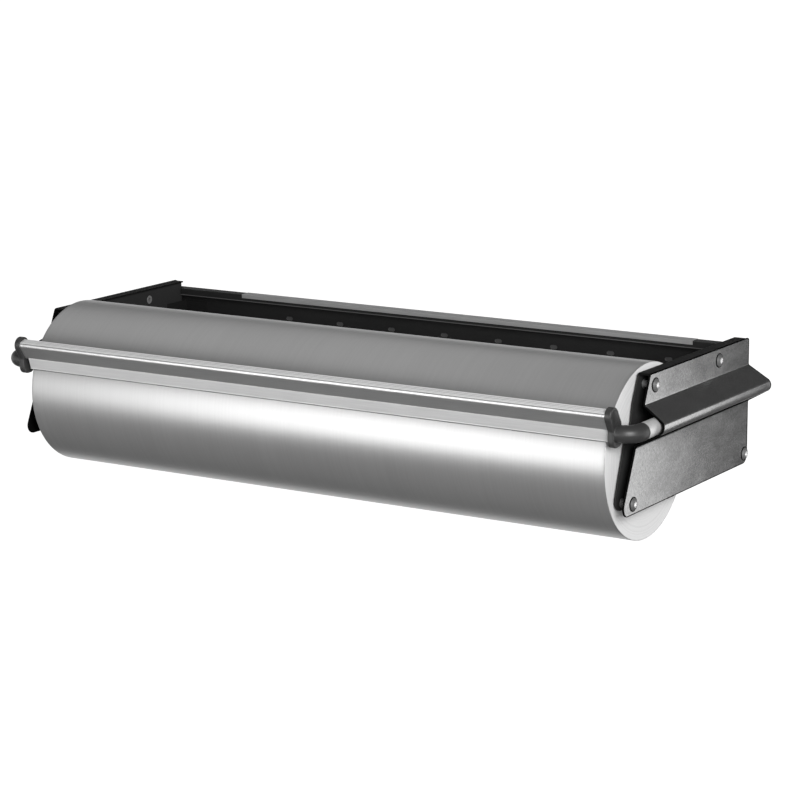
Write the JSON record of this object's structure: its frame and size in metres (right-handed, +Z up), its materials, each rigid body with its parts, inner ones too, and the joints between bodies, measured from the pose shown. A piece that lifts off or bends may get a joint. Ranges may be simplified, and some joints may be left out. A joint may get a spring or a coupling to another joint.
{
  "type": "wrapping paper roll dispenser",
  "caption": "Wall-hung paper roll dispenser: two covered side boxes on a rear rail, an axle for the roll, and a sprung cutting bar that slides on two arms.",
  "frame": {"origin": "middle of the wall screw pattern, on the wall plane behind the rear rail", "axes": "+X along the roll towards the right-hand box, +Y back into the wall, +Z up"},
  "size_m": [0.8384, 0.3202, 0.1889],
  "materials": {
    "satin_sheet": "satin",
    "black_steel": "satin",
    "zinc_steel": "satin",
    "black_oxide": "satin",
    "aluminium": "satin",
    "strip": "gloss",
    "dark_plastic": "matte",
    "black_nylon": "matte",
    "spring_steel": "satin",
    "paper": "satin",
    "board": "matte"
  },
  "bodies": {
    "frame": {"side_cover_left": "satin_sheet", "side_cover_right": "satin_sheet", "side_plate_left": "black_steel", "side_plate_right": "black_steel", "standoffs_left": "zinc_steel", "standoffs_right": "zinc_steel", "cover_screws": "zinc_steel", "axle_saddle_left": "black_nylon", "axle_saddle_right": "black_nylon", "front_guide_left": "black_nylon", "front_guide_right": "black_nylon", "rear_guide_left": "black_nylon", "rear_guide_right": "black_nylon", "rod_anchor_left": "zinc_steel", "rod_anchor_right": "zinc_steel", "spring_rod_left": "zinc_steel", "spring_rod_right": "zinc_steel", "rod_nuts": "zinc_steel", "rod_washers": "zinc_steel", "arm_spring_left": "spring_steel", "arm_spring_right": "spring_steel", "rear_rail": "black_steel", "rail_strip": "strip", "rail_bracket_left": "black_steel", "rail_bracket_right": "black_steel", "rail_studs": "zinc_steel", "rail_nuts": "zinc_steel"},
    "cutter": {"cutting_bar": "aluminium", "cutting_blade": "zinc_steel", "end_cap_left": "dark_plastic", "end_cap_right": "dark_plastic", "elbow_left": "dark_plastic", "elbow_right": "dark_plastic", "elbow_screws": "black_oxide", "arm_tube_left": "aluminium", "arm_tube_right": "aluminium", "tube_plug_left": "dark_plastic", "tube_plug_right": "dark_plastic"},
    "roll": {"paper_roll": "paper", "roll_core": "board", "core_plug_left": "dark_plastic", "core_plug_right": "dark_plastic", "roll_axle": "zinc_steel", "axle_collars": "zinc_steel", "collar_screws": "black_oxide"}
  },
  "joints": [
    {"name": "bar_slide", "type": "slide", "parent": "frame", "child": "cutter", "axis": [0, 1, 0], "range_m": [-0.04, 0], "stiffness_N_per_m": 300, "springref_m": 0.09, "deforming": ["arm_spring_left", "arm_spring_right"]},
    {"name": "roll_spin", "type": "hinge", "parent": "frame", "child": "roll", "pos_m": [0, -0.2124, -0.014], "axis": [1, 0, 0], "continuous": true}
  ]
}
